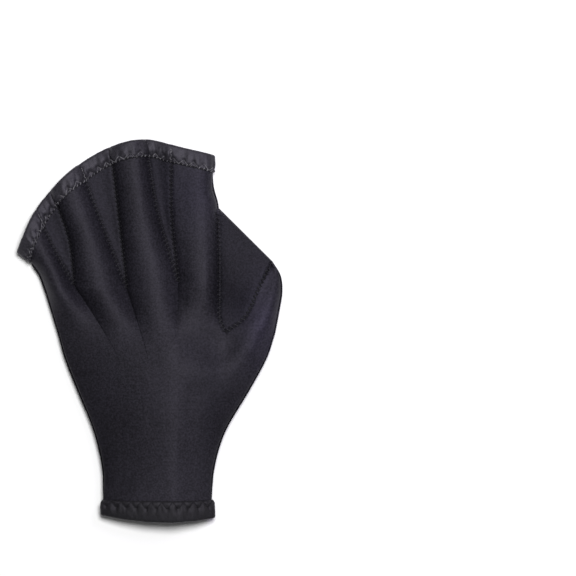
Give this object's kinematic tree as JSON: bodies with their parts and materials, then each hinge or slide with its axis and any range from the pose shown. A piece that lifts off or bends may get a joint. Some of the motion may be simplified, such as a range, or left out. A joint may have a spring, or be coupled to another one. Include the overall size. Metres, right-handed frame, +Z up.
{
  "type": "webbed swim glove",
  "caption": "Fingerless neoprene swim glove with webs between the fingers and the thumb, bound edges and an open cuff.",
  "frame": {"origin": "middle of the glove's box in plan, on the floor it lies on", "axes": "+Z up, out of the back of the hand; +Y from the cuff to the fingers; +X from the little finger to the thumb"},
  "size_m": [0.1538, 0.2206, 0.022],
  "materials": {
    "neoprene": "matte knitted face with a soft sheen",
    "binding": "satin stretch tape"
  },
  "bodies": {
    "root": {"back_panel": "neoprene", "palm_panel": "neoprene", "finger_binding_back": "binding", "finger_binding_palm": "binding", "cuff_binding": "binding"}
  },
  "joints": []
}
